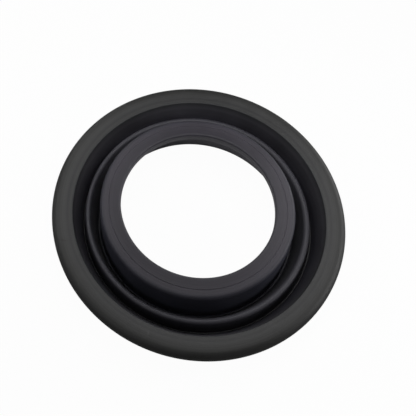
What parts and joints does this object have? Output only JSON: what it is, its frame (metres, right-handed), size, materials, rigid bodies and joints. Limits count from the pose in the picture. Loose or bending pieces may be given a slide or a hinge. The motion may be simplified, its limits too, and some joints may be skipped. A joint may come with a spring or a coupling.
{
  "type": "rubber bellows",
  "caption": "Moulded rubber ring bellows: a rounded clamping rim, a thin folded wall with a raised crest between two deep valleys, and a raised collar round an open bore.",
  "frame": {"origin": "centre of the ring, on the plane that the underside of the inner fold's root stands on", "axes": "+Z along the ring's axis, towards the collar; X and Y lie in the rim's plane and are interchangeable"},
  "size_m": [0.12, 0.12, 0.0225],
  "materials": {
    "rubber": "matte moulded black rubber"
  },
  "bodies": {
    "root": {"bellows": "rubber"}
  },
  "joints": []
}
